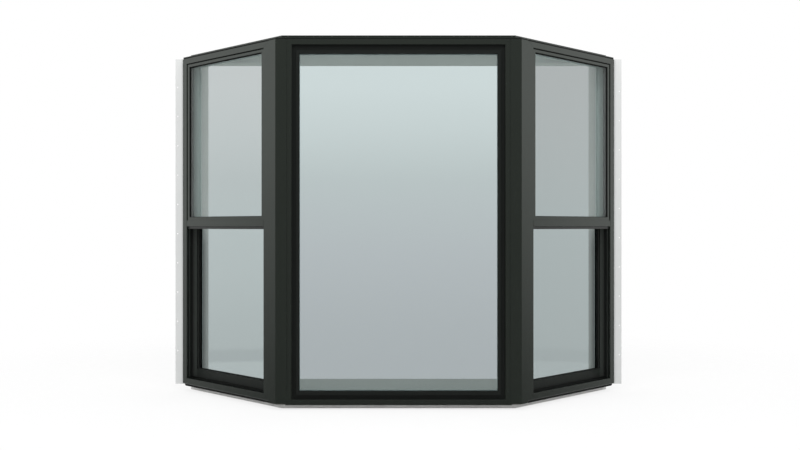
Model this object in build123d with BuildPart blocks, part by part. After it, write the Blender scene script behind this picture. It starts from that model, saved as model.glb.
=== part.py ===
"""A three-unit bay window: a fixed picture window in front and a single-hung window
at each side, with the seat board, head board, corner posts and nail fins that
join them into one factory-built unit. Millimetres, Z up, street side towards -Y.
Y = 0 is the outer face of the house wall and Z = 0 the underside of the seat board."""

import os
from math import cos, radians, sin, tan

from build123d import *

# Plan of the bay
ANGLE = 45.0  # turn of each side window away from the front one
FRONT_SPAN = 1138.0  # between the two fold lines, on the front faces
SIDE_SPAN = 781.0  # from a fold line to the outer edge of a side window
WALL_LINE = 16.2  # the wall's outer face behind the side windows' outer corners
WALL_DEPTH = 248.0  # from the wall's outer face back to the room
FRAME_DEPTH = 83.0
MULLION_HALF = 44.0  # from a fold line to the frame on each side of it

# Boards
BOARD = 19.0
BOARD_SETBACK = 53.0  # front edges of the boards behind the window faces
BOARD_OVERHANG = 25.0  # seat and head boards past the side jamb boards
SIDE_JAMB = 24.0

# Heights
UNIT_HEIGHT = 1709.0
HEAD_LEDGE = 8.5
SILL_DRIP = 6.5  # front part of each side sill hangs this far above the seat board
PICTURE_DRIP = 4.5  # the same under the picture window
LEDGE_DEPTH = 6.0
DRIP_DEPTH = 14.0  # undercut behind the front step of a side sill
EDGE = 1.5  # chamfer on the front faces

# Picture window
PICTURE_JAMB = 29.5
PICTURE_HEAD = 33.0
PICTURE_SILL = 30.0
PICTURE_CHANNEL = 19.5  # groove between face and glazing stop, at jambs and sill
PICTURE_CHANNEL_HEAD = 24.5  # the same groove at the head
PICTURE_STOP = 15.5
PICTURE_STOP_HEAD = 17.5
PICTURE_STOP_SILL = 20.0
CHANNEL_DEPTH = 15.0
PICTURE_STOP_FRONT = 4.0
PICTURE_GLASS_FRONT = 18.0
PICTURE_GLASS = 24.0  # sealed double pane
PICTURE_SHOULDER = 7.0  # frame behind the glass, back from the sight line

# Side windows
SIDE_INNER_JAMB = 50.0
SIDE_OUTER_JAMB = 37.5
SIDE_HEAD = 37.0
SIDE_SILL = 48.0
SIDE_SILL_LEDGE = 12.0
SILL_NOSE = 37.0  # depth of the sill's front step
SASH_SEAT = 7.0  # step up to the surface that carries the sash
ROOM_STOP = 12.0  # lip on the room side that keeps the sash in its track
ROOM_STOP_DEPTH = 5.0

# Fixed upper light of a side window
CHECK_RAIL_Z = 851.0
CHECK_RAIL = 29.0
CHECK_RAIL_DEPTH = 36.0
CHECK_LIP = 11.5
CHECK_LIP_DEPTH = 12.0
CHECK_LIP_SETBACK = 8.0
UPPER_STOP = 20.5
UPPER_STOP_HEAD = 18.5
UPPER_STOP_FRONT = 4.0  # the check rail is flush with it
UPPER_REVEAL = 3.0  # groove over the upper stop
UPPER_FLANGE = 8.0  # from the face to the flange in that groove
UPPER_GLASS_FRONT = 11.0
UPPER_GLASS = 18.0
UPPER_BACK_LIP = 3.0
GLASS_BITE = 9.0  # glass held inside its frame
GLASS_PLAY = 0.3

# Sliding lower sash
SASH_FRONT = 39.0
SASH_DEPTH = 38.0
SASH_PLAY = 0.5
SASH_STILE = 29.5
SASH_BOTTOM = 42.0
SASH_TOP = 45.0
SASH_TOP_Z = 885.0
SASH_GLASS_FRONT = 14.0
SASH_GLASS = 18.0
LIFT_LENGTH = 240.0
LIFT_HEIGHT = 10.0
LIFT_REACH = 9.0
LIFT_RISE = 26.0
LOCK_LENGTH = 62.0
LOCK_WIDTH = 22.0
LOCK_BASE = 6.0
LOCK_LEVER = 44.0

# Corner trim
COVER_LAP = 6.0  # the outside cover over each frame's face
COVER_THICK = 2.5
COVER_BEND = 3.0
COVER_CUT = 4.5  # the cover ends this far above the frames' bottom
POST_SETBACK = 7.0
CASING_LEG = 84.0
CASING_THICK = 12.0
CASING_EDGE = 3.0

# Drip cap over the heads of the windows
CAP_THICK = 1.5
CAP_NOSE = 6.0

# Nail fins
FIN_REACH = 54.2
FIN_THICK = 2.5
FIN_FLANGE = 36.0
FIN_BOTTOM = 32.0
FIN_SHORT = 5.5  # the fin ends this far below the frame's top
FIN_HOLE = 7.0
FIN_HOLE_EDGE = 11.2
FIN_PITCH = 152.4
FIN_HOLES = 10
FIN_FIRST_LEFT = 173.0
FIN_FIRST_RIGHT = 151.6

# Positions that follow from the sizes above
TURN = radians(ANGLE)
HALF = FRONT_SPAN / 2
FRONT = -(SIDE_SPAN * sin(TURN) + WALL_LINE)
JAMB_OUTER = HALF + SIDE_SPAN * cos(TURN) - FRAME_DEPTH * sin(TURN)
BOARD_HALF = JAMB_OUTER + BOARD_OVERHANG
BASE = BOARD
LOW = BASE + SILL_DRIP
TOP = BOARD + UNIT_HEIGHT
CHECK_TOP = CHECK_RAIL_Z + CHECK_RAIL

FRONT_PLANE = Plane(origin=(0, FRONT, 0), x_dir=(1, 0, 0), z_dir=(0, -1, 0))
SIDE_PLANE = Plane(
    origin=(HALF, FRONT, 0),
    x_dir=(cos(TURN), sin(TURN), 0),
    z_dir=(sin(TURN), -cos(TURN), 0),
)


def side_point(along, depth):
    """Plan position on the right side window: along its face from the fold, then inwards."""
    x = HALF + along * cos(TURN) - depth * sin(TURN)
    y = FRONT + along * sin(TURN) + depth * cos(TURN)
    return x, y


def side_along(x, depth):
    """How far along the right side window a plane of this X cuts it at this depth."""
    return (x - HALF + depth * sin(TURN)) / cos(TURN)


def fold_point(depth):
    """Plan position where the front and side planes at this depth meet."""
    return HALF - depth * tan(TURN / 2), FRONT + depth


def corner_band(leg, near, far):
    """Plan outline that turns the corner between two depths, with legs of equal length."""
    return [
        fold_point(near),
        side_point(leg, near),
        side_point(leg, far),
        fold_point(far),
        (HALF - leg, FRONT + far),
        (HALF - leg, FRONT + near),
    ]


def inset(rect, left=0.0, bottom=0.0, right=0.0, top=0.0):
    x0, z0, x1, z1 = rect
    return x0 + left, z0 + bottom, x1 - right, z1 - top


def rectangle(rect, mode=Mode.ADD):
    x0, z0, x1, z1 = rect
    with Locations(((x0 + x1) / 2, (z0 + z1) / 2)):
        Rectangle(x1 - x0, z1 - z0, mode=mode)


def mitre_outline(side, outer, inner, reach=1.8):
    """The part of a frame that belongs to one side, between its two mitres."""
    x0, z0, x1, z1 = outer
    corners = {"bl": (x0, z0), "br": (x1, z0), "tr": (x1, z1), "tl": (x0, z1)}
    a0, b0, a1, b1 = inner
    inside = {"bl": (a0, b0), "br": (a1, b0), "tr": (a1, b1), "tl": (a0, b1)}
    ends = {
        "head": ("tl", "tr"),
        "sill": ("br", "bl"),
        "first": ("bl", "tl"),
        "second": ("tr", "br"),
    }
    start, end = ends[side]
    points = [corners[start], corners[end]]
    for name in (end, start):
        (cx, cz), (ix, iz) = corners[name], inside[name]
        points.append((cx + (ix - cx) * reach, cz + (iz - cz) * reach))
    return points


def layered_frame(plane, layers, outline=None, edge=0.0):
    """A rectangular frame made of depth layers (front, back, outer, inner), or one mitred side of it."""
    with BuildPart() as member:
        for front, back, outer, inner in layers:
            with BuildSketch(plane.offset(-front)):
                rectangle(outer)
                rectangle(inner, Mode.SUBTRACT)
            extrude(amount=front - back)
        if edge:
            face = member.faces().sort_by(Axis(plane.origin, plane.z_dir))[-1]
            chamfer(face.edges(), edge)
        if outline:
            with BuildSketch(plane):
                with BuildLine():
                    Polyline(*outline, close=True)
                make_face()
            extrude(amount=-FRAME_DEPTH, mode=Mode.INTERSECT)
    return member


def pane(plane, rect, front, thickness):
    with BuildPart() as glass:
        with BuildSketch(plane.offset(-front)):
            rectangle(rect)
        extrude(amount=-thickness)
    return glass


def upright(points, bottom, top):
    """A prism that stands on a plan outline."""
    with BuildPart() as post:
        with BuildSketch(Plane.XY.offset(bottom)):
            with BuildLine():
                Polyline(*points, close=True)
            make_face()
        extrude(amount=top - bottom)
    return post


def save(builder, label):
    builder.part.label = label
    export_step(builder.part, f"parts/{label}.step")


def save_pair(builder, label):
    """The right-hand piece and its mirrored twin."""
    save(builder, f"right_{label}")
    with BuildPart() as twin:
        mirror(builder.part, about=Plane.YZ)
    save(twin, f"left_{label}")


def board(bottom):
    """A board that follows the three windows in front and is square at the wall."""
    end_x, end_y = side_point(side_along(BOARD_HALF, BOARD_SETBACK), BOARD_SETBACK)
    half = [fold_point(BOARD_SETBACK), (end_x, end_y), (end_x, WALL_DEPTH)]
    return upright(half + [(-x, y) for x, y in reversed(half)], bottom, bottom + BOARD)


def head_caps():
    """Bent metal drip cap: up the head board's edge, out over the frames and down in front."""
    front = LEDGE_DEPTH - CAP_THICK
    strips = [
        (BOARD_SETBACK - CAP_THICK, BOARD_SETBACK, TOP, TOP + BOARD),
        (front, BOARD_SETBACK, TOP, TOP + CAP_THICK),
        (front, LEDGE_DEPTH, TOP - CAP_NOSE, TOP + CAP_THICK),
    ]
    with BuildPart() as center:
        for near, far, low, high in strips:
            start, end = fold_point(near), fold_point(far)
            outline = [start, end, (-end[0], end[1]), (-start[0], start[1])]
            add(upright(outline, low, high).part)
    save(center, "center_head_cap")
    with BuildPart() as side:
        for near, far, low, high in strips:
            ends = [side_point(SIDE_SPAN, far), side_point(SIDE_SPAN, near)]
            outline = [fold_point(near), fold_point(far), *ends]
            add(upright(outline, low, high).part)
    save_pair(side, "head_cap")


def picture_window():
    outer = (-(HALF - MULLION_HALF), BASE, HALF - MULLION_HALF, TOP)
    low = inset(outer, bottom=PICTURE_DRIP)
    face = inset(low, top=HEAD_LEDGE)
    opening = inset(outer, PICTURE_JAMB, PICTURE_SILL, PICTURE_JAMB, PICTURE_HEAD)
    across = PICTURE_CHANNEL
    pocket = inset(opening, across, across, across, PICTURE_CHANNEL_HEAD)
    across = PICTURE_STOP
    sight = inset(pocket, across, PICTURE_STOP_SILL, across, PICTURE_STOP_HEAD)
    shoulder = inset(sight, *[-PICTURE_SHOULDER] * 4)
    glass_back = PICTURE_GLASS_FRONT + PICTURE_GLASS
    layers = [
        (0, LEDGE_DEPTH, face, opening),
        (LEDGE_DEPTH, CHANNEL_DEPTH, low, opening),
        (CHANNEL_DEPTH, glass_back, low, pocket),
        (glass_back, BOARD_SETBACK, low, shoulder),
        (BOARD_SETBACK, FRAME_DEPTH, outer, shoulder),
    ]
    for side, label in (
        ("head", "center_head"),
        ("sill", "center_sill"),
        ("first", "center_left_jamb"),
        ("second", "center_right_jamb"),
    ):
        outline = mitre_outline(side, outer, opening, 3.2)
        save(layered_frame(FRONT_PLANE, layers, outline, EDGE), label)
    stop = [(PICTURE_STOP_FRONT, PICTURE_GLASS_FRONT, pocket, sight)]
    save(layered_frame(FRONT_PLANE, stop, edge=EDGE), "center_glazing_stop")
    glass = inset(pocket, *[GLASS_PLAY] * 4)
    save(pane(FRONT_PLANE, glass, PICTURE_GLASS_FRONT, PICTURE_GLASS), "center_glass")


def side_frame(outer, opening):
    low = inset(outer, bottom=SILL_DRIP)
    face = inset(low, bottom=SIDE_SILL_LEDGE, top=HEAD_LEDGE)
    track = inset(opening, bottom=SASH_SEAT)
    room = inset(track, *[ROOM_STOP] * 4)
    lip_front = FRAME_DEPTH - ROOM_STOP_DEPTH
    layers = [
        (0, LEDGE_DEPTH, face, opening),
        (LEDGE_DEPTH, DRIP_DEPTH, inset(low, bottom=SIDE_SILL_LEDGE), opening),
        (DRIP_DEPTH, SILL_NOSE, low, opening),
        (SILL_NOSE, BOARD_SETBACK, low, track),
        (BOARD_SETBACK, lip_front, outer, track),
        (lip_front, FRAME_DEPTH, outer, room),
    ]
    for side, label in (
        ("head", "head"),
        ("sill", "sill"),
        ("first", "inner_jamb"),
        ("second", "outer_jamb"),
    ):
        outline = mitre_outline(side, outer, opening)
        save_pair(layered_frame(SIDE_PLANE, layers, outline, EDGE), label)


def upper_light(opening):
    """The fixed glass over the check rail, held in its own slim frame."""
    x0, _, x1, z1 = opening
    ring = (x0, CHECK_TOP, x1, z1)
    stop = inset(ring, top=UPPER_REVEAL)
    sight = inset(ring, *[UPPER_STOP] * 3, UPPER_STOP_HEAD)
    pocket = inset(sight, *[-GLASS_BITE] * 4)
    glass_back = UPPER_GLASS_FRONT + UPPER_GLASS
    layers = [
        (UPPER_STOP_FRONT, UPPER_FLANGE, stop, sight),
        (UPPER_FLANGE, UPPER_GLASS_FRONT, ring, sight),
        (UPPER_GLASS_FRONT, glass_back, ring, pocket),
        (glass_back, glass_back + UPPER_BACK_LIP, ring, sight),
    ]
    with BuildPart() as frame:
        add(layered_frame(SIDE_PLANE, layers).part)
        face = frame.faces().sort_by(Axis(SIDE_PLANE.origin, SIDE_PLANE.z_dir))[-1]
        joint = face.edges().filter_by(Plane.XY).sort_by(Axis.Z)[0]
        chamfer(face.edges() - [joint], EDGE)
    save_pair(frame, "upper_glazing_frame")
    glass = inset(pocket, *[GLASS_PLAY] * 4)
    save_pair(pane(SIDE_PLANE, glass, UPPER_GLASS_FRONT, UPPER_GLASS), "upper_glass")

    plate = (x0, CHECK_RAIL_Z, x1, CHECK_TOP)
    lip = (x0, CHECK_RAIL_Z - CHECK_LIP, x1, CHECK_RAIL_Z)
    lip_back = CHECK_LIP_SETBACK + CHECK_LIP_DEPTH
    with BuildPart() as rail:
        for front, back, rect in (
            (UPPER_STOP_FRONT, CHECK_RAIL_DEPTH, plate),
            (CHECK_LIP_SETBACK, lip_back, lip),
        ):
            with BuildSketch(SIDE_PLANE.offset(-front)):
                rectangle(rect)
            extrude(amount=front - back)
        face = rail.faces().sort_by(Axis(SIDE_PLANE.origin, SIDE_PLANE.z_dir))[-1]
        chamfer(face.edges().filter_by(Plane.XY).sort_by(Axis.Z)[0], EDGE)
    save_pair(rail, "check_rail")


def lower_sash(opening):
    """The sash that slides up behind the upper light, with its glass, lift and lock."""
    x0, z0, x1, _ = opening
    outer = (x0 + SASH_PLAY, z0 + SASH_SEAT, x1 - SASH_PLAY, SASH_TOP_Z)
    sight = inset(outer, SASH_STILE, SASH_BOTTOM, SASH_STILE, SASH_TOP)
    pocket = inset(sight, *[-GLASS_BITE] * 4)
    glass_front = SASH_FRONT + SASH_GLASS_FRONT
    glass_back = glass_front + SASH_GLASS
    back = SASH_FRONT + SASH_DEPTH
    layers = [
        (SASH_FRONT, glass_front, outer, sight),
        (glass_front, glass_back, outer, pocket),
        (glass_back, back, outer, sight),
    ]
    for side, label in (
        ("head", "sash_top_rail"),
        ("first", "sash_inner_stile"),
        ("second", "sash_outer_stile"),
    ):
        outline = mitre_outline(side, outer, sight)
        save_pair(layered_frame(SIDE_PLANE, layers, outline, EDGE), label)

    middle = (x0 + x1) / 2
    lift = (
        middle - LIFT_LENGTH / 2,
        outer[1] + LIFT_RISE,
        middle + LIFT_LENGTH / 2,
        outer[1] + LIFT_RISE + LIFT_HEIGHT,
    )
    bottom = layered_frame(SIDE_PLANE, layers, mitre_outline("sill", outer, sight), EDGE)
    with BuildPart() as bottom_rail:
        add(bottom.part)
        with BuildSketch(SIDE_PLANE.offset(-back)):
            rectangle(lift)
        extrude(amount=-LIFT_REACH)
    save_pair(bottom_rail, "sash_bottom_rail")

    glass = inset(pocket, *[GLASS_PLAY] * 4)
    save_pair(pane(SIDE_PLANE, glass, glass_front, SASH_GLASS), "lower_glass")

    lock_x, lock_y = side_point(middle, SASH_FRONT + SASH_DEPTH / 2)
    with BuildPart() as lock:
        with BuildSketch(Plane((lock_x, lock_y, SASH_TOP_Z), x_dir=SIDE_PLANE.x_dir)):
            SlotOverall(LOCK_LENGTH, LOCK_WIDTH)
        extrude(amount=LOCK_BASE)
        top = lock.faces().sort_by(Axis.Z)[-1]
        chamfer(top.edges(), EDGE)
        with BuildSketch(Plane((lock_x, lock_y, SASH_TOP_Z + LOCK_BASE), x_dir=SIDE_PLANE.x_dir)):
            Circle(LOCK_WIDTH * 0.36)
            with Locations((LOCK_LEVER / 2 - 6, 0)):
                SlotOverall(LOCK_LEVER, LOCK_WIDTH * 0.36)
        extrude(amount=LOCK_BASE)
    save_pair(lock, "sash_lock")


def corner_trim():
    """Post, outside cover and room-side casing where two windows meet."""
    depth = FRAME_DEPTH - POST_SETBACK
    with BuildPart() as post:
        for near, far, low, high in (
            (0, LEDGE_DEPTH, LOW + COVER_CUT, TOP - HEAD_LEDGE),
            (LEDGE_DEPTH, BOARD_SETBACK, LOW, TOP),
            (BOARD_SETBACK, depth, BASE, TOP),
        ):
            add(upright(corner_band(MULLION_HALF, near, far), low, high).part)
    save_pair(post, "mullion_post")

    outline = corner_band(MULLION_HALF + COVER_LAP, -COVER_THICK, 0)
    with BuildPart() as cover:
        add(upright(outline, LOW + COVER_CUT, TOP - HEAD_LEDGE).part)
        bend = cover.edges().filter_by(Axis.Z).group_by(Axis.Y)[0].sort_by(Axis.X)[-1]
        fillet(bend, COVER_BEND)
    save_pair(cover, "mullion_cover")

    outline = corner_band(CASING_LEG, FRAME_DEPTH, FRAME_DEPTH + CASING_THICK)
    with BuildPart() as casing:
        add(upright(outline, BASE, TOP).part)
        ends = (
            side_point(CASING_LEG, FRAME_DEPTH + CASING_THICK),
            (HALF - CASING_LEG, FRONT + FRAME_DEPTH + CASING_THICK),
        )
        for x, y in ends:
            corner = casing.edges().filter_by(Axis.Z).sort_by_distance((x, y, (BASE + TOP) / 2))[0]
            chamfer(corner, CASING_EDGE)
    save_pair(casing, "mullion_casing")


def side_jambs():
    """Boards that line the wall opening behind the outer edges of the side windows."""
    inner = JAMB_OUTER - SIDE_JAMB
    outline = [
        side_point(side_along(inner, FRAME_DEPTH), FRAME_DEPTH),
        side_point(SIDE_SPAN, FRAME_DEPTH),
        (JAMB_OUTER, WALL_DEPTH),
        (inner, WALL_DEPTH),
    ]
    save_pair(upright(outline, BASE, TOP), "side_jamb")


def nail_fin(side, first_hole):
    """An angle on the frame's outer edge with a row of nail holes for the wall."""
    near = (WALL_LINE - FIN_THICK) / cos(TURN)
    bend = (WALL_LINE - FIN_THICK * sin(TURN)) / cos(TURN)
    start_x, _ = side_point(SIDE_SPAN, near)
    outer_x = start_x + FIN_REACH
    outline = [
        side_point(SIDE_SPAN, near),
        (outer_x, -FIN_THICK),
        (outer_x, 0),
        side_point(SIDE_SPAN + FIN_THICK, bend),
        side_point(SIDE_SPAN + FIN_THICK, bend + FIN_FLANGE),
        side_point(SIDE_SPAN, bend + FIN_FLANGE),
    ]
    with BuildPart() as fin:
        add(upright(outline, FIN_BOTTOM, TOP - FIN_SHORT).part)
        with BuildSketch(Plane.XZ):
            for index in range(FIN_HOLES):
                height = FIN_BOTTOM + first_hole + index * FIN_PITCH
                with Locations((outer_x - FIN_HOLE_EDGE, height)):
                    Circle(FIN_HOLE / 2)
        extrude(amount=FIN_THICK, mode=Mode.SUBTRACT)
    if side == "left":
        with BuildPart() as left:
            mirror(fin.part, about=Plane.YZ)
        fin = left
    save(fin, f"{side}_nail_fin")


os.makedirs("parts", exist_ok=True)
save(board(0), "seat_board")
save(board(TOP), "head_board")
head_caps()
picture_window()
side_outer = (MULLION_HALF, BASE, SIDE_SPAN, TOP)
side_opening = inset(side_outer, SIDE_INNER_JAMB, SIDE_SILL, SIDE_OUTER_JAMB, SIDE_HEAD)
side_frame(side_outer, side_opening)
upper_light(side_opening)
lower_sash(side_opening)
corner_trim()
side_jambs()
nail_fin("left", FIN_FIRST_LEFT)
nail_fin("right", FIN_FIRST_RIGHT)
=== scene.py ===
"""Looks for the bay window: materials, sealed glass, gaskets, locks and trim on its frame."""

import math
from functools import cached_property

import bmesh
import bpy
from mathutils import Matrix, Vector


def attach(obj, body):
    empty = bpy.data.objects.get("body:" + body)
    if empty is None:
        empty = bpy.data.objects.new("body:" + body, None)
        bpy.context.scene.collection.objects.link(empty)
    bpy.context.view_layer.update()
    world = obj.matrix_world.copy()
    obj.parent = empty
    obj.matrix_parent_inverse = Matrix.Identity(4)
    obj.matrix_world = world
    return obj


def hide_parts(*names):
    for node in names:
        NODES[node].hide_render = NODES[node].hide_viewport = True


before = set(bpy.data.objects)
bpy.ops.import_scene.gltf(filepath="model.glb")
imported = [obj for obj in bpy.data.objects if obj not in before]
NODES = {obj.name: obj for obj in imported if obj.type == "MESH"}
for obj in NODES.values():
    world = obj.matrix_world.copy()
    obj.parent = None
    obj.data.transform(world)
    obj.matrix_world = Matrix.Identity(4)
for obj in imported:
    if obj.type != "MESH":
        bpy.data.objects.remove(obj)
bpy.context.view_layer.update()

# The windows' places, in metres. They repeat the part's own sizes.
FRONT = -0.5684504  # the front window's face
HALF = 0.569  # from the middle to the fold where a side window starts
TURN = math.radians(45)  # from the front to a side window
SIDES = {"left": -1, "right": 1}  # the front window is side 0
CHECK_LINE = 0.851  # height of the side windows' check rails
HEAD_LINE = 1.7285  # just above the head board's underside
CAP_HEM = 1.7262  # between a drip cap's turned-under hem, darkened with painted shade, and its face

# Outer edge and opening of each mitred frame: along the face and up, low corner then high corner
CENTER_FRAME = ((-0.525, 0.019, 0.525, 1.728), (-0.4955, 0.049, 0.4955, 1.695))
SIDE_FRAME = ((0.044, 0.019, 0.781, 1.728), (0.094, 0.067, 0.7435, 1.691))
SASH_FRAME = ((0.0945, 0.074, 0.743, 0.885), (0.124, 0.116, 0.7135, 0.840))


def window_axes(side):
    """A window's origin, at its fold, and its directions along the face, inwards and up."""
    cos, sin = (math.cos(TURN), math.sin(TURN)) if side else (1, 0)
    along = Vector(((side or 1) * cos, sin, 0))
    inward = Vector((-side * sin, cos, 0))
    return Vector((side * HALF, FRONT, 0)), along, inward, Vector((0, 0, 1))


# ---------------------------------------------------------------- materials
materials = {}


def srgb(r, g, b):
    """A colour given as 0 to 255 display values."""

    def linear(v):
        v /= 255
        return v / 12.92 if v <= 0.04045 else ((v + 0.055) / 1.055) ** 2.4

    return (linear(r), linear(g), linear(b), 1.0)


def toned(color, factor):
    """The colour, paler or darker by a factor."""
    return (*(c * factor for c in color[:3]), 1.0)


class Graph:
    """A node tree under construction."""

    def __init__(self, tree, output):
        self.tree = tree
        self.tree.nodes.clear()
        self.out = self.node(output)

    def node(self, kind, **values):
        """A new node; each value goes to the input of that name, or to the node's own setting."""
        n = self.tree.nodes.new("ShaderNode" + kind)
        for key, value in values.items():
            if key in n.inputs:
                n.inputs[key].default_value = value
            else:
                setattr(n, key, value)
        return n

    def feed(self, value, socket):
        """Links an output to a socket, or sets the socket to a constant."""
        if isinstance(value, bpy.types.NodeSocket):
            self.tree.links.new(value, socket)
        else:
            socket.default_value = value

    def math(self, operation, *values):
        n = self.node("Math", operation=operation)
        for value, socket in zip(values, n.inputs):
            self.feed(value, socket)
        return n.outputs[0]

    def plus(self, a, b):
        return self.math("ADD", a, b)

    def minus(self, a, b):
        return self.math("SUBTRACT", a, b)

    def times(self, a, b):
        return self.math("MULTIPLY", a, b)

    def rest(self, share):
        return self.minus(1.0, share)

    def spread(self, value, low, high, from_low=0.3, from_high=0.7, smooth=False):
        """The value's range from_low to from_high turned into low to high, and kept inside it.

        A noise lies mostly within the range that from_low and from_high have by default."""
        ranges = {"From Min": from_low, "From Max": from_high, "To Min": low, "To Max": high}
        n = self.node("MapRange", **ranges)
        n.interpolation_type = "SMOOTHSTEP" if smooth else "LINEAR"
        self.feed(value, n.inputs["Value"])
        return n.outputs["Result"]

    def split(self, vector):
        """The X, Y and Z of a vector."""
        n = self.node("SeparateXYZ")
        self.feed(vector, n.inputs[0])
        return n.outputs

    def blend(self, factor, a, b):
        """Shader a where the factor is 0, and b where it is 1."""
        n = self.node("MixShader")
        for value, socket in zip((factor, a, b), n.inputs):
            self.feed(value, socket)
        return n.outputs["Shader"]

    def surface(self, shader):
        self.feed(shader, self.out.inputs["Surface"])


class Shader(Graph):
    """A surface material under construction, which is kept in materials by its name."""

    def __init__(self, name):
        material = bpy.data.materials.new(name)
        material.use_nodes = True
        materials[name] = material
        super().__init__(material.node_tree, "OutputMaterial")

    @cached_property
    def place(self):
        """Object coordinates in metres."""
        return self.node("TexCoord").outputs["Object"]

    @cached_property
    def axes(self):
        return self.split(self.place)

    @property
    def height(self):
        return self.axes["Z"]

    @property
    def inward(self):
        """Metres towards the room from the wall's outer face."""
        return self.axes["Y"]

    @property
    def sideways(self):
        """Metres from the middle, the same on the left and the right."""
        return self.math("ABSOLUTE", self.axes["X"])

    @cached_property
    def upward(self):
        """1 on surfaces that face up, 0 on upright ones and -1 on undersides."""
        return self.split(self.node("NewGeometry").outputs["Normal"])["Z"]

    def stretched(self, scale):
        """Object coordinates multiplied by a scale for each axis."""
        mapping = self.node("Mapping", Scale=scale)
        self.feed(self.place, mapping.inputs["Vector"])
        return mapping.outputs["Vector"]

    def reach(self, direction):
        """Metres along a direction from the world's origin."""
        n = self.node("VectorMath", operation="DOT_PRODUCT")
        self.feed(self.place, n.inputs[0])
        self.feed(direction, n.inputs[1])
        return n.outputs["Value"]

    def depth(self, side):
        """Metres inwards from a window's face."""
        origin, _, inward, _ = window_axes(side)
        return self.minus(self.reach(inward), inward.dot(origin))

    def distance(self, side):
        """Metres along a window's face from its fold."""
        origin, along, _, _ = window_axes(side)
        return self.minus(self.reach(along), along.dot(origin))

    def noise(self, vector, scale, detail, roughness=0.55):
        n = self.node("TexNoise", Scale=scale, Detail=detail, Roughness=roughness)
        self.feed(vector, n.inputs["Vector"])
        return n.outputs["Fac"]

    def mix(self, factor, a, b, blend="MIX"):
        """Colour a where the factor is 0, and b where it is 1."""
        n = self.node("Mix", data_type="RGBA", blend_type=blend)
        for name, value in (("Factor", factor), ("A", a), ("B", b)):
            self.feed(value, next(i for i in n.inputs if i.name == name and i.enabled))
        return next(o for o in n.outputs if o.enabled)

    def cloudy(self, color, change=0.07):
        """The colour with a faint cloudy change of tone."""
        clouds = self.noise(self.place, 2.2, 3)
        return self.mix(clouds, toned(color, 1 - change), toned(color, 1 + change))

    def bump(self, height, strength, distance):
        n = self.node("Bump", Strength=strength, Distance=distance)
        self.feed(height, n.inputs["Height"])
        return n.outputs["Normal"]

    def coat(self, color, roughness, normal, specular=0.5, tint=(1, 1, 1, 1)):
        """One Principled coat; its output goes to a blend or to the surface."""
        n = self.node("BsdfPrincipled", **{"Specular IOR Level": specular, "Specular Tint": tint})
        for key, value in (("Base Color", color), ("Roughness", roughness), ("Normal", normal)):
            self.feed(value, n.inputs[key])
        return n.outputs["BSDF"]

    @cached_property
    def marks(self):
        """Where handling has changed the gloss."""
        return self.noise(self.place, 35, 5, 0.65)

    @cached_property
    def peel(self):
        """The faint orange peel of a sprayed coat."""
        return self.bump(self.noise(self.place, 900, 2, 0.5), 0.1, 0.0004)

    def paint(self, color, roughness, specular=0.5, tint=(1, 1, 1, 1)):
        """A sprayed coat, with handling marks in its gloss."""
        return self.coat(color, self.spread(self.marks, *roughness), self.peel, specular, tint)


BRONZE = srgb(33, 37, 33)
# painted shade: the bronze darkened for grooves and recesses, which also get a flatter coat
GROOVE_SHADE = srgb(29, 32, 30)
SASH = srgb(37, 41, 38)
LIT_STILE = srgb(56, 60, 57)  # painted light: the sashes' outer stiles, paler than the rest of the sash
WHITE = srgb(222, 223, 220)
SHADE_ON_WHITE = (0.535, 0.492, 0.487, 1)  # painted shade that darkens the white next to the weather side
JOINT = (0.05, 0.05, 0.05, 1)  # hairline joints in the white

# Coats: roughness from least to most, specular level and mirror tint
SATIN = ((0.16, 0.22), 0.75, (0.91, 1.0, 0.93, 1))
FLAT = ((0.5, 0.65), 0.15)
WORN_SATIN = ((0.26, 0.34), 0.62)
DULL = ((0.42, 0.55), 0.2)
ROOM_SATIN = ((0.34, 0.48), 0.5)
RUBBER = ((0.6, 0.75), 0.15)


def painted(name, color, roughness, specular=0.5, tint=(1, 1, 1, 1)):
    """One sprayed coat of a faintly cloudy colour."""
    s = Shader(name)
    s.surface(s.paint(s.cloudy(color), roughness, specular, tint))


def shaded_hem_paint(name, line):
    """Satin bronze whose turned-under hem, below the line, is flat and darkened with painted shade.
    """
    s = Shader(name)
    face = s.paint(s.cloudy(BRONZE), *SATIN)
    # painted shade on the hem, under a flat coat
    hem = s.paint(s.cloudy(GROOVE_SHADE), *FLAT)
    s.surface(s.blend(s.math("LESS_THAN", s.height, line), face, hem))


def mitre_lines(s, side, edges):
    """1 on the hairline joints at a frame's four corners, and 0 elsewhere."""
    hairline = 0.0003
    (u0, z0, u1, z1), (a0, b0, a1, b1) = edges
    origin, along, _, up = window_axes(side)
    total = 0.0
    for u, z, a, b in ((u0, z0, a0, b0), (u1, z0, a1, b0), (u1, z1, a1, b1), (u0, z1, a0, b1)):
        size = math.hypot(a - u, b - z)
        across = along * ((z - b) / size) + up * ((a - u) / size)
        corner = origin + along * u + up * z
        on_line = s.math("COMPARE", s.reach(across), across.dot(corner), hairline)
        near = s.math("COMPARE", s.height, (z + b) / 2, abs(b - z) / 2 + 0.001)
        total = s.math("MAXIMUM", total, s.times(on_line, near))
    return total


def two_tone(s, side, step, outside, groove, pale, mitres, is_room):
    """Paint of a frame section: the outside coat, the groove coat from the depth step inwards,
    flatter and darkened with painted shade, and the pale colour on the room side. Hairline mitres
    show in all three."""
    grooved = s.math("GREATER_THAN", s.depth(side), step)
    if mitres:
        line = mitre_lines(s, side, mitres)
        grooved = s.math("MAXIMUM", grooved, s.times(line, 0.8))
        pale = s.mix(s.times(line, 0.6), pale, JOINT)
    weather = s.blend(grooved, outside, groove)
    s.surface(s.blend(is_room, weather, s.paint(pale, *ROOM_SATIN)))


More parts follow.
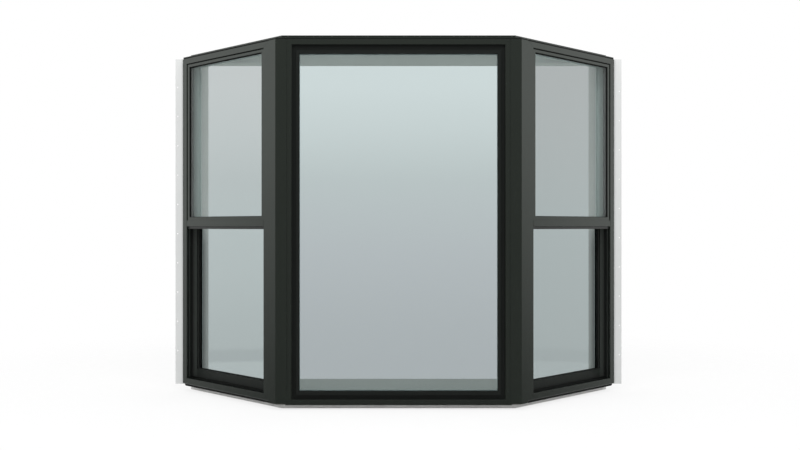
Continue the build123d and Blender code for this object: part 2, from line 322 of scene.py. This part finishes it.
def frame_paint(name, side, change, step=0.005, reveal=0.0, groove=FLAT, mitres=None):
    """A fixed frame: satin bronze, flatter in its grooves and darkened there with painted shade,
    and white on the room side.

    The white starts at the depth change, and reveal metres further in below the check rail.
    It is darkened with painted shade where it starts."""
    shade_depth = 0.045
    s = Shader(name)
    inner = s.depth(side)
    if reveal:
        in_frame = s.math("LESS_THAN", s.distance(side), SIDE_FRAME[0][2] - 0.001)
        below = s.times(s.math("LESS_THAN", s.height, CHECK_LINE), in_frame)
        inner = s.minus(inner, s.times(below, reveal))
    white = s.cloudy(WHITE, 0.03)
    # painted shade on the white, fading out deeper in
    shaded_white = s.mix(1.0, white, SHADE_ON_WHITE, "MULTIPLY")
    pale = s.mix(s.spread(inner, 0.0, 1.0, change, change + shade_depth), shaded_white, white)
    outside = s.paint(s.cloudy(BRONZE), *SATIN)
    # flatter coat in the grooves, with painted shade in its darker colour
    grooves = s.paint(s.cloudy(GROOVE_SHADE), *groove)
    is_room = s.math("GREATER_THAN", inner, change)
    two_tone(s, side, step, outside, grooves, pale, mitres, is_room)


def sash_paint(name, side, change, step):
    """A sliding sash: duller than its frame, with painted light on its outer stile and white on its
    top edge.
    """
    s = Shader(name)
    stile_start = SASH_FRAME[1][2]
    at_stile = s.spread(s.distance(side), 0.0, 1.0, stile_start - 0.012, stile_start)
    # painted light: the outer stile is painted paler than the rest of the sash
    outside = s.paint(s.mix(at_stile, s.cloudy(SASH), s.cloudy(LIT_STILE)), *DULL)
    # flatter coat in the grooves, with painted shade in its darker colour
    grooves = s.paint(s.cloudy(GROOVE_SHADE), *FLAT)
    faces_up = s.math("GREATER_THAN", s.upward, 0.5)
    top_edge = s.times(faces_up, s.math("GREATER_THAN", s.height, CHECK_LINE + 0.03))
    is_room = s.math("GREATER_THAN", s.plus(s.depth(side), top_edge), change)
    white = s.cloudy(WHITE, 0.03)
    two_tone(s, side, step, outside, grooves, white, SASH_FRAME, is_room)


# How much finer a board's grain and pores are than their noise, along x, y and z
LEVEL_GRAIN, UPRIGHT_GRAIN = (1.0, 14.0, 14.0), (14.0, 14.0, 1.0)
LEVEL_PORES, UPRIGHT_PORES = (2.0, 90.0, 90.0), (90.0, 90.0, 2.0)
BOARD_SHADE = (0.004, 0.003, 0.003, 1)  # mixed in where painted shade darkens a side jamb board
BLACK = (0.0, 0.0, 0.0, 1)


def primed(s, color, dark, light, grain, pores):
    """Faint long grain under a primer: its colour, its roughness and its relief."""
    rings = s.noise(s.stretched(grain), 3.2, 8, 0.6)
    dots = s.noise(s.stretched(pores), 4.0, 3, 0.5)
    relief = s.plus(s.times(rings, 0.6), s.times(dots, 0.4))
    tone = s.mix(rings, toned(color, dark), toned(color, light))
    return tone, s.spread(rings, 0.5, 0.66), s.bump(relief, 0.25, 0.0006)


def side_jamb_paint(name, color):
    """A side jamb board, darkened with painted shade on its face beside the lower sash, and a
    little next to the window all the way up.
    """
    s = Shader(name)
    tone, *gloss = primed(s, color, 0.93, 1.03, UPRIGHT_GRAIN, UPRIGHT_PORES)
    # painted shade: strongest below the check rail and next to the window
    lower = s.spread(s.height, 1.0, 0.0, CHECK_LINE - 0.10, CHECK_LINE + 0.07)
    painted_shade = s.times(lower, s.spread(s.inward, 0.67, 0.32, 0.12, 0.21))
    painted_shade = s.plus(painted_shade, s.spread(s.inward, 0.12, 0.0, 0.07, 0.20))
    on_face = s.math("LESS_THAN", s.sideways, 1.05)
    tone = s.mix(s.times(painted_shade, on_face), tone, BOARD_SHADE)
    s.surface(s.coat(tone, *gloss))


def board_paint(name, color, grain=LEVEL_GRAIN, edge=None, corners=0.0):
    """Primed board, with plies on its raw edges in a paler colour of their own, which is painted
    light.

    corners is how much painted shade darkens a head board's underside at its outer corners."""
    s = Shader(name)
    tone, *gloss = primed(s, color, 0.9, 1.04, grain, LEVEL_PORES)
    if corners:
        # painted shade in the outer corners of the head board's underside
        corner_dark = s.spread(s.sideways, 0.0, corners, 0.60, 0.90)
        corner_dark = s.times(corner_dark, s.spread(s.inward, 1.0, 0.0, 0.115, 0.18))
        underside = s.math("LESS_THAN", s.height, HEAD_LINE)
        tone = s.mix(s.times(corner_dark, underside), tone, BLACK)
    # painted light: the raw edges are paler than the faces; the plies in them are real
    if edge:
        upright = s.math("LESS_THAN", s.math("ABSOLUTE", s.upward), 0.5)
        bands = {"wave_type": "BANDS", "bands_direction": "Z"}
        wave = s.node("TexWave", **bands, Scale=84.0, Distortion=0.6, Detail=2.0)
        s.feed(s.stretched((0.25, 0.25, 1.0)), wave.inputs["Vector"])
        plies = s.mix(wave.outputs["Fac"], toned(edge, 0.9), toned(edge, 1.04))
        tone = s.mix(upright, tone, plies)
    s.surface(s.coat(tone, *gloss))


def pile_paint(name, color):
    """Short dense pile: speckled tufts along the strip, and hardly any gloss."""
    s = Shader(name)
    tufts = s.noise(s.stretched((1.0, 1.0, 0.35)), 2600, 2, 0.7)
    tone = s.mix(s.spread(tufts, 0.0, 1.0), toned(color, 0.55), toned(color, 1.35))
    s.surface(s.coat(tone, s.spread(tufts, 0.85, 0.98), s.bump(tufts, 0.8, 0.0008), 0.08))


def pane_glass(name, tint):
    """Flat glass that mirrors by its angle and lets light straight through."""
    least_mirror = 0.007
    s = Shader(name)
    grazing = s.math("POWER", s.node("LayerWeight", Blend=0.5).outputs["Facing"], 6.0)
    share = s.spread(grazing, least_mirror, 1.0, 0.0, 1.0)
    clear = s.node("BsdfTransparent", Color=tint)
    mirror = s.node("BsdfGlossy")
    s.feed(s.spread(s.noise(s.place, 3.0, 4), 0.005, 0.03), mirror.inputs["Roughness"])
    s.surface(s.blend(share, clear.outputs["BSDF"], mirror.outputs["BSDF"]))


painted("bronze_metal", BRONZE, *SATIN)
shaded_hem_paint("cap_metal", CAP_HEM)
frame_paint("bronze_frame_front", 0, 0.030, 0.003, mitres=CENTER_FRAME)
for word, side in SIDES.items():
    frame_paint(f"bronze_frame_{word}", side, 0.030, reveal=0.012, mitres=SIDE_FRAME)
    frame_paint(f"bronze_light_{word}", side, 0.0125)
    frame_paint(f"bronze_rail_{word}", side, 0.034, groove=WORN_SATIN)
    sash_paint(f"bronze_sash_{word}", side, 0.0755, 0.0425)
board_paint("head_board", srgb(208, 208, 203), edge=srgb(240, 240, 238), corners=0.34)
board_paint("seat_board", srgb(180, 179, 175), edge=srgb(242, 242, 240))
board_paint("casing", srgb(218, 217, 213), UPRIGHT_GRAIN)
board_paint("post_core", srgb(92, 90, 85), UPRIGHT_GRAIN)
side_jamb_paint("left_side_jamb", srgb(223, 220, 216))
# painted shade: the right board is darker than the left
side_jamb_paint("right_side_jamb", srgb(213, 210, 206))
painted("fin_vinyl", srgb(222, 224, 223), (0.45, 0.6))
painted("lock_metal", srgb(224, 224, 221), (0.28, 0.4))
painted("screw_metal", srgb(176, 178, 178), (0.22, 0.34))
painted("glass_edge", srgb(62, 88, 80), (0.2, 0.35))
painted("spacer", srgb(120, 122, 121), (0.3, 0.45))
painted("foam_spacer", srgb(34, 36, 35), *RUBBER)
painted("gasket", srgb(20, 22, 21), *RUBBER)
painted("sash_gasket", srgb(43, 45, 43), *RUBBER)
painted("track_rib", srgb(48, 52, 49), (0.5, 0.62), 0.3)
pile_paint("pile", srgb(52, 53, 52))
pane_glass("clear_pane", (0.988, 0.99, 0.988, 1))
pane_glass("tinted_pane", (0.80, 0.851, 0.854, 1))

MATERIAL_BY_ENDING = {
    "glass": "tinted_pane",
    "mullion_casing": "casing",
    "mullion_cover": "bronze_metal",
    "mullion_post": "post_core",
    "nail_fin": "fin_vinyl",
    "head_cap": "cap_metal",
    "sash_lock": "lock_metal",
}


def material_for(node):
    """The material of a CAD node, by its name."""
    if node in materials:
        return materials[node]
    for ending, name in MATERIAL_BY_ENDING.items():
        if node.endswith(ending):
            return materials[name]
    word = node.split("_")[0]
    if word == "center":
        return materials["bronze_frame_front"]
    if "_sash_" in node:
        return materials[f"bronze_sash_{word}"]
    if node.endswith("upper_glazing_frame"):
        return materials[f"bronze_light_{word}"]
    if node.endswith("check_rail"):
        return materials[f"bronze_rail_{word}"]
    return materials[f"bronze_frame_{word}"]


for name, obj in NODES.items():
    obj.data.materials.clear()
    obj.data.materials.append(material_for(name))


# ---------------------------------------------------------------- shapes
def placed(side, u, d, z):
    """A point u along a window's face, d inwards from it and z up, in metres."""
    origin, along, inward, up = window_axes(side)
    return origin + along * u + inward * d + up * z


def face_box(node, side):
    """The rectangle and depths that a CAD node fills, in a window's own directions."""
    origin, along, inward, _ = window_axes(side)
    points = [v.co - origin for v in NODES[node].data.vertices]
    us = [p.dot(along) for p in points]
    ds = [p.dot(inward) for p in points]
    zs = [p.z for p in points]
    return (min(us), min(zs), max(us), max(zs)), min(ds), max(ds)


def inset(rect, left, bottom, right, top):
    return (rect[0] + left, rect[1] + bottom, rect[2] - right, rect[3] - top)


def piece(name, shape, mats, face_mats=None, bevel=0.0):
    """A closed mesh that rides on the window; a shape is its points and its faces."""
    points, faces = shape
    mesh = bpy.data.meshes.new(name)
    mesh.from_pydata(points, [], faces)
    for mat in mats:
        mesh.materials.append(materials[mat])
    if face_mats:
        mesh.polygons.foreach_set("material_index", face_mats)
    b = bmesh.new()
    b.from_mesh(mesh)
    bmesh.ops.recalc_face_normals(b, faces=b.faces)
    if bevel:
        sharp = [e for e in b.edges if e.calc_face_angle(0) > 0.5]
        bmesh.ops.bevel(
            b, geom=sharp, offset=bevel, segments=2, affect="EDGES", clamp_overlap=True
        )
    b.to_mesh(mesh)
    b.free()
    obj = bpy.data.objects.new(name, mesh)
    bpy.context.scene.collection.objects.link(obj)
    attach(obj, "root")
    return obj


def loop(side, rect, d, widths):
    """The corners of a rectangle at depth d, moved in by a width at each of its sides."""
    u0, z0, u1, z1 = inset(rect, *widths)
    return [placed(side, u, d, z) for u, z in ((u0, z0), (u1, z0), (u1, z1), (u0, z1))]


def walls(loops, closed):
    """Loops of four corners joined one to the next, and the last to the first if closed."""
    n = len(loops)
    faces = []
    for k in range(n if closed else n - 1):
        a, b = 4 * k, 4 * ((k + 1) % n)
        faces += [(a + c, a + (c + 1) % 4, b + (c + 1) % 4, b + c) for c in range(4)]
    return [corner for four in loops for corner in four], faces


def ring(side, rect, profile):
    """A profile of (inset, depth) points swept round a rectangle with mitred corners."""
    return walls([loop(side, rect, d, [width] * 4) for width, d in profile], closed=True)


def block(loops):
    """Loops of four corners joined in a row, with a face over each end."""
    points, faces = walls(loops, closed=False)
    n = len(points)
    return points, [*faces, (0, 1, 2, 3), (n - 4, n - 3, n - 2, n - 1)]


def prism(outline, low, high):
    """An outline of (x, y) points stood up between two heights."""
    n = len(outline)
    points = [(x, y, z) for z in (low, high) for x, y in outline]
    sides = [(k, (k + 1) % n, n + (k + 1) % n, n + k) for k in range(n)]
    return points, [tuple(range(n)), tuple(range(n, 2 * n)), *sides]


def arc(x, y, r, start, sweep, steps):
    """Points on an arc about (x, y), with its angles in degrees."""
    angles = [math.radians(start + sweep * k / steps) for k in range(steps + 1)]
    return [(x + r * math.cos(a), y + r * math.sin(a)) for a in angles]


def capsule(x0, x1, r0, r1, steps=12):
    """The outline of a bar along x, with a round end of its own radius at each place."""
    return arc(x1, 0, r1, -90, 180, steps) + arc(x0, 0, r0, 90, 180, steps)


def rectangle(x, y, width, height):
    """The outline of a rectangle about (x, y)."""
    a, b = width / 2, height / 2
    return [(x - a, y - b), (x + a, y - b), (x + a, y + b), (x - a, y + b)]


def rounded(x, width, height, r):
    """The outline of a rectangle about (x, 0) with round corners."""
    points = []
    for across, up, start in ((1, -1, -90), (1, 1, 0), (-1, 1, 90), (-1, -1, 180)):
        points += arc(x + across * (width / 2 - r), up * (height / 2 - r), r, start, 90, 5)
    return points


def turned(outline, angle):
    """An outline turned about its origin by an angle in degrees."""
    cos, sin = math.cos(math.radians(angle)), math.sin(math.radians(angle))
    return [(x * cos - y * sin, x * sin + y * cos) for x, y in outline]


def assembled(name, axes, place, shells, mats, bevel=0.0004):
    """Closed shells in local axes, joined in one piece; each is a shape and a material number."""
    points, faces, marks = [], [], []
    x, y, z = (Vector(axis) for axis in axes)
    for (shell_points, shell_faces), mark in shells:
        base = len(points)
        points += [Vector(place) + x * a + y * b + z * c for a, b, c in shell_points]
        faces += [tuple(base + k for k in face) for face in shell_faces]
        marks += [mark] * len(shell_faces)
    return piece(name, (points, faces), mats, marks, bevel)


# ---------------------------------------------------------------- glass and rubber
CONTACT = 0.0001  # kept between pieces that would touch
FRONT_PANE, SIDE_PANE = 0.005, 0.004  # thickness of one pane
PANE_ARRIS = 0.0006


def pane(name, side, rect, front, back, glass):
    """A pane with ground edges."""
    profile = [
        (PANE_ARRIS, front), (0, front + PANE_ARRIS), (0, back - PANE_ARRIS), (PANE_ARRIS, back)
    ]
    points, faces = block([loop(side, rect, d, [width] * 4) for width, d in profile])
    marks = [1] * (len(faces) - 2) + [0, 0]
    return piece(name, (points, faces), (glass, "glass_edge"), marks)


def sealed_unit(name, node, side, rect, front, back, bar):
    """Two panes, a spacer and the seal round them, in place of the plain glass."""
    thick = SIDE_PANE if side else FRONT_PANE
    a, b = front + thick + CONTACT, back - thick - CONTACT
    spacer = [
        (0.0035, a), (0.0075, a), (0.0085, a + 0.0012),
        (0.0085, b - 0.0012), (0.0075, b), (0.0035, b),
    ]
    seal = [(0.0004, a), (0.0033, a), (0.0033, b), (0.0004, b), (0.0010, (a + b) / 2)]
    made = [
        pane(f"{name}_outer_pane", side, rect, front, front + thick, "clear_pane"),
        pane(f"{name}_inner_pane", side, rect, back - thick, back, "tinted_pane"),
        piece(f"{name}_spacer", ring(side, rect, spacer), [bar]),
        piece(f"{name}_edge_seal", ring(side, rect, seal), ["gasket"]),
    ]
    for obj in made:
        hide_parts(node)


def gasket(name, side, sight, front, back, widths, rubber="gasket"):
    """A rubber bead round a sight line, rounded at its lip; widths are left, bottom, right, top."""
    profile = [
        (0.0, back), (0.85, back), (1.0, back - 0.0006), (0.94, back - 0.0016),
        (0.62, front + 0.0005), (0.3, front), (0.0, front),
    ]
    loops = [loop(side, sight, d, [share * width for width in widths]) for share, d in profile]
    piece(name, walls(loops, closed=True), [rubber])


def room_bead(name, side, sight, back):
    """The bead that holds the picture window's glass on the room side."""
    profile = [
        (-0.0066, 0.0002), (-0.0004, 0.0002), (-0.0004, 0.0020),
        (-0.0018, 0.0042), (-0.0048, 0.0086), (-0.0066, 0.0092),
    ]
    shape = ring(side, sight, [(width, back + d) for width, d in profile])
    piece(name, shape, ["fin_vinyl"])


# How far each sight line lies inside its pane's rim, and how wide the gasket shows outside:
# left, bottom, right, top
SIGHT_INSET = {
    "center": (0.0152, 0.0197, 0.0152, 0.0172),
    "upper": (0.0087, 0.0087, 0.0087, 0.0087),
    "lower": (0.0087, 0.0087, 0.0087, 0.0087),
}
GASKET_WIDTHS = {
    "center": (0.0002, 0.0006, 0.0003, 0.0004),
    "upper": (0.0012, 0.0012, 0.0042, 0.0048),
    "lower": (0.0012, 0.0042, 0.0042, 0.0009),
}


def glazing(node):
    """The sealed unit of a window opening, with its gaskets and its bead."""
    side = SIDES.get(node.split("_")[0], 0)
    light = next(word for word in SIGHT_INSET if word in node)
    rect, front, back = face_box(node, side)
    name = node.replace("_glass", "_unit")
    in_sash = light == "lower"
    sealed_unit(name, node, side, rect, front, back, "foam_spacer" if in_sash else "spacer")
    sight = inset(rect, *SIGHT_INSET[light])
    rubber = "sash_gasket" if in_sash else "gasket"
    widths = GASKET_WIDTHS[light]
    gasket(f"{name}_outer_gasket", side, sight, front - 0.0035, front - CONTACT, widths, rubber)
    if in_sash:
        gasket(f"{name}_inner_gasket", side, sight, back + 0.0026, back + CONTACT, [0.0012] * 4)
    if light == "center":
        room_bead(f"{name}_room_bead", side, sight, back)


# ---------------------------------------------------------------- locks, screws and strips
def screw(x, y, z, radius, high=0.0007):
    """A domed screw head with a cross recess, as shells."""
    head = [(x + a, y + b) for a, b in capsule(0, 0, radius, radius, 10)]
    shells = [(prism(head, z, z + high), 1)]
    long, short = radius * 1.1, radius * 0.26
    for width, height in ((long, short), (short, long)):
        slot = rectangle(x, y, width, height)
        shells.append((prism(slot, z + high * 0.5, z + high + 0.00005), 2))
    return shells


def sash_lock(word, side):
    """A cam lock: base plate with two screws, drum, and a lever with a turned-up tip."""
    node = f"{word}_sash_lock"
    (u0, z0, u1, _), d0, d1 = face_box(node, side)
    lever_turn = 8
    plate_top = 0.0042
    shells = [
        (prism(capsule(-0.020, 0.020, 0.011, 0.011), 0, plate_top), 0),
        (prism(capsule(-0.006, 0.006, 0.0092, 0.0092), plate_top, 0.0068), 0),
        (prism(capsule(0, 0, 0.0078, 0.0078, 16), 0.0068, 0.0086), 0),
        (prism(turned(capsule(0, 0.031, 0.0062, 0.0034), lever_turn), 0.0080, 0.0112), 0),
        (prism(turned(capsule(0.026, 0.0318, 0.0032, 0.0034), lever_turn), 0.0112, 0.0120), 0),
        (prism(capsule(0, 0, 0.0035, 0.0035, 10), 0.0112, 0.0118), 0),
    ]
    for x in (-0.0225, 0.0225):
        shells += screw(x, 0, plate_top, 0.0031)
    place = placed(side, (u0 + u1) / 2, (d0 + d1) / 2, z0)
    mats = ("lock_metal", "screw_metal", "gasket")
    made = assembled(f"{word}_cam_lock", window_axes(side)[1:], place, shells, mats)
    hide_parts(node)


def tilt_latches(word, side):
    """A slide latch let into each end of the sash's top rail."""
    (u0, _, u1, z1), d0, d1 = face_box(f"{word}_sash_top_rail", side)
    from_end = 0.037
    plate_top, button_top, grip_top = 0.0011, 0.0026, 0.0031
    for label, u, way in (("inner", u0 + from_end, -1), ("outer", u1 - from_end, 1)):
        middle = way * 0.006  # the button sits towards the end of its plate
        shells = [
            (prism(rounded(0, 0.052, 0.017, 0.003), 0, plate_top), 0),
            (prism(rounded(middle, 0.020, 0.010, 0.003), plate_top, button_top), 0),
        ]
        for x in (-0.005, -0.0025, 0, 0.0025, 0.005):
            grip = rectangle(middle + x, 0, 0.001, 0.007)
            shells.append((prism(grip, button_top, grip_top), 0))
        name = f"{word}_{label}_tilt_latch"
        place = placed(side, u, (d0 + d1) / 2 + 0.003, z1)
        axes = window_axes(side)[1:]
        assembled(name, axes, place, shells, ["lock_metal"], 0.0002)


def jamb_screws(word, side):
    """Trim screws in a line down each jamb board."""
    count, from_end, from_edge = 5, 0.16, 0.022
    (x0, z0, x1, z1), _, room_edge = face_box(f"{word}_side_jamb", 0)
    pitch = (z1 - z0 - 2 * from_end) / (count - 1)
    shells = []
    for k in range(count):
        shells += screw(room_edge - from_edge, z0 + from_end + k * pitch, 0, 0.0042, 0.0006)
    axes = ((0, 1, 0), (0, 0, 1), (-side, 0, 0))
    place = (x0 if side > 0 else x1, FRONT, 0)
    mats = ("screw_metal", "screw_metal", "gasket")
    assembled(f"{word}_jamb_screws", axes, place, shells, mats, 0.0002)


def strip(name, side, along, depths, heights, mat, arris):
    """A straight bead between two places along the window, two depths and two heights."""
    (u0, u1), (z0, z1) = along, heights
    shape = block([loop(side, (u0, z0, u1, z1), d, [0] * 4) for d in depths])
    piece(name, shape, [mat], bevel=arris)


def window_strips(word, side):
    """A side window's track ribs, pile strips, sill seal and check rail face plate."""
    (u0, rail_low, u1, rail_top), rail_front, _ = face_box(f"{word}_check_rail", side)
    sash_low = face_box(f"{word}_sash_outer_stile", side)[0][1]
    off = 0.0002  # between a strip and the jamb it stands on
    top = rail_low + 0.0005  # the upright strips end just inside the check rail
    for kind, proud, depths, low, mat, arris in (
        ("track_rib", 0.005, (0.0145, 0.0185), sash_low - 0.0065, "track_rib", 0.0006),
        ("pile", 0.0034, (0.0352, 0.0388), sash_low + 0.0005, "pile", 0.0008),
    ):
        for label, along in (("outer", (u1 - proud, u1 - off)), ("inner", (u0 + off, u0 + proud))):
            strip(f"{word}_{label}_{kind}", side, along, depths, (low, top), mat, arris)
    on_rail = (CHECK_LINE + 0.006, CHECK_LINE + 0.014)
    across = (u0 + 0.004, u1 - 0.004)
    strip(f"{word}_sash_pile", side, across, (0.0362, 0.0389), on_rail, "pile", 0.0008)
    on_sill, drip = (0.0236, 0.0257), (0.0144, 0.0196)
    strip(f"{word}_sill_seal", side, (0.046, 0.776), drip, on_sill, "gasket", 0.0006)
    plate = (CHECK_LINE + 0.0014, rail_top + 0.0022)
    across, depths = (u0 + CONTACT, u1 - CONTACT), (0.0003, rail_front + CONTACT)
    strip(f"{word}_rail_face", side, across, depths, plate, "bronze_metal", 0.0005)


for node in [n for n in NODES if n.endswith("_glass")]:
    glazing(node)
for word, side in SIDES.items():
    sash_lock(word, side)
    tilt_latches(word, side)
    jamb_screws(word, side)
    window_strips(word, side)


# ---------------------------------------------------------------- stage
PANE_CROSSED = 1.5  # a ray that has passed more see-through faces than this came through a pane


def stage_floor():
    """A white disc that keeps the shadow and fades into the white round it."""
    radius, fade_start, fade_end = 3.4, 1.9, 3.2
    below = 0.0005  # the floor lies just under the seat board
    mesh = bpy.data.meshes.new("floor")
    b = bmesh.new()
    bmesh.ops.create_circle(b, cap_ends=True, segments=96, radius=radius)
    for v in b.verts:
        v.co.z = -below
    b.to_mesh(mesh)
    b.free()
    floor = bpy.data.objects.new("floor", mesh)
    bpy.context.scene.collection.objects.link(floor)
    s = Shader("studio_floor")
    shaded = s.node("BsdfDiffuse", Color=(0.97, 0.97, 0.97, 1)).outputs["BSDF"]
    white = s.node("Emission", Color=(1, 1, 1, 1), Strength=1.0).outputs["Emission"]
    clear = s.node("BsdfTransparent").outputs["BSDF"]
    far = s.node("VectorMath", operation="LENGTH")
    s.feed(s.place, far.inputs[0])
    fade = s.spread(far.outputs["Value"], 0.0, 1.0, fade_start, fade_end)
    path = s.node("LightPath").outputs
    paned = s.math("GREATER_THAN", path["Transparent Depth"], PANE_CROSSED)
    gone = s.math("MAXIMUM", fade, s.math("MAXIMUM", path["Is Glossy Ray"], paned))
    lit = s.blend(s.times(path["Is Camera Ray"], 0.8), shaded, white)
    s.surface(s.blend(gone, lit, clear))
    mesh.materials.append(materials["studio_floor"])


WORLD_LIGHT = 0.85  # strength of what lights the window from all round
AHEAD = (0.10, 0.16)  # strength of what gloss mirrors in front, from low to high
BESIDE = (0.04, 0.93)  # and beside the window, from low to high
SIDE_FADE = (-0.06, 0.26)  # the heights between which BESIDE changes

# How white it is beyond the panes, by the slope of the view from down to up
PANE_SLOPES = (-0.2, 0.2)
FOLD_SLOPES = (0.104, 0.134)  # the slopes to the side between which the front window ends
PANE_LEVELS = (
    (-0.14, 0.643), (-0.096, 0.667), (-0.025, 0.73), (0.047, 0.795),
    (0.098, 0.915), (0.139, 0.99), (0.162, 1.0),
)


def mirrored(g, y, z):
    """Strength of what gloss mirrors: dim ahead, bright beside and dimmer high up."""
    ahead = g.spread(z, *AHEAD, -0.16, 0.16)
    flank = g.spread(g.plus(z, g.times(y, 1.1)), *BESIDE, *SIDE_FADE)
    flank = g.times(flank, g.spread(z, 1.0, 0.35, 0.25, 0.6))
    beside = g.spread(y, 0.0, 1.0, -0.5, 0.0, smooth=True)
    return g.plus(g.times(ahead, g.rest(beside)), g.times(flank, beside))


def seen_through(g, x, z):
    """Colour seen through the panes: paler above than below, and greyer beside the front window."""
    ramp = g.node("ValToRGB")
    elements = ramp.color_ramp.elements
    while len(elements) < len(PANE_LEVELS):
        elements.new(0.5)
    lowest, highest = PANE_SLOPES
    for element, (slope, level) in zip(elements, PANE_LEVELS):
        element.position = (slope - lowest) / (highest - lowest)
        element.color = (level, level, level, 1)
    g.feed(g.spread(z, 0.0, 1.0, *PANE_SLOPES), ramp.inputs["Fac"])
    fold, past_fold = FOLD_SLOPES
    left = g.spread(x, 1.0, 0.0, -past_fold, -fold, smooth=True)
    right = g.spread(x, 0.0, 1.0, fold, past_fold, smooth=True)
    beside = g.plus(left, right)

    # The left window dims towards its top, and the right one has its own nearly even level.
    left_fall = g.times(left, g.spread(z, 0.0, 0.135, -0.05, 0.152))
    level = g.times(g.times(ramp.outputs["Color"], g.rest(left_fall)), g.rest(right))
    level = g.plus(level, g.times(right, g.spread(z, 0.605, 0.66, -0.13, 0.15)))

    # Low in the side windows a darker band lies over a paler foot.
    above_foot = g.spread(z, 0.0, 1.0, -0.1367, -0.1340)
    band = g.times(above_foot, g.spread(z, 1.0, 0.0, -0.1251, -0.1215))
    change = g.minus(g.times(g.rest(above_foot), 0.055), g.times(band, 0.09))
    change = g.plus(g.times(change, left), g.times(g.times(change, 0.55), right))
    level = g.times(level, g.plus(1.0, change))

    # High in the side windows it turns warm, and low in the front window a little less green.
    cool = g.times(level, g.rest(g.times(beside, g.spread(z, 0.0, 0.055, 0.0, 0.15))))
    low_middle = g.times(g.rest(beside), g.spread(z, 0.030, 0.0, -0.03, 0.06))
    green = g.times(cool, g.rest(low_middle))
    color = g.node("CombineColor")
    for key, value in (("Red", level), ("Green", green), ("Blue", cool)):
        g.feed(value, color.inputs[key])
    return color.outputs["Color"]


def stage_world():
    """White round the window, with a sky of its own for gloss and another through the panes."""
    world = bpy.data.worlds.new("studio")
    bpy.context.scene.world = world
    world.cycles.sampling_method = "NONE"
    world.use_nodes = True
    g = Graph(world.node_tree, "OutputWorld")
    direction = g.split(g.node("TexCoord").outputs["Generated"])
    path = g.node("LightPath").outputs

    def background(strength, color=(1, 1, 1, 1)):
        n = g.node("Background")
        g.feed(color, n.inputs["Color"])
        g.feed(strength, n.inputs["Strength"])
        return n.outputs["Background"]

    glossy = background(mirrored(g, direction["Y"], direction["Z"]))
    lit = g.blend(path["Is Glossy Ray"], background(WORLD_LIGHT), glossy)
    paned = g.math("GREATER_THAN", path["Transparent Depth"], PANE_CROSSED)
    through = background(1.0, seen_through(g, direction["X"], direction["Z"]))
    seen = g.blend(paned, background(1.0), through)
    visible = g.math("MAXIMUM", path["Is Camera Ray"], path["Is Transmission Ray"])
    g.surface(g.blend(visible, lit, seen))


def stage_light():
    """A soft box in front of the window and above it."""
    light = bpy.data.lights.new("top_softbox", "AREA")
    light.shape = "RECTANGLE"
    light.size, light.size_y = 4.0, 1.6
    light.energy = 60  # watts
    place, aim = Vector((0, -2.2, 3.6)), Vector((0, -0.2, 0.9))
    obj = bpy.data.objects.new("top_softbox", light)
    obj.location = place
    obj.rotation_euler = (aim - place).to_track_quat("-Z", "Y").to_euler()
    obj.visible_camera = False
    obj.visible_glossy = False
    bpy.context.scene.collection.objects.link(obj)


def stage_camera():
    """A level camera straight in front of the window, at about half its height."""
    data = bpy.data.cameras.new("camera")
    data.sensor_width, data.lens = 36.0, 44.1  # millimetres
    data.shift_x, data.shift_y = 0.001875, 0.00125  # of the frame's width
    camera = bpy.data.objects.new("camera", data)
    camera.location = (0, FRONT - 4.54, 0.854)
    camera.rotation_euler = (math.radians(90), 0, 0)
    bpy.context.scene.collection.objects.link(camera)
    bpy.context.scene.camera = camera


stage_floor()
stage_world()
stage_light()
stage_camera()
bpy.context.scene.view_settings.view_transform = "Standard"
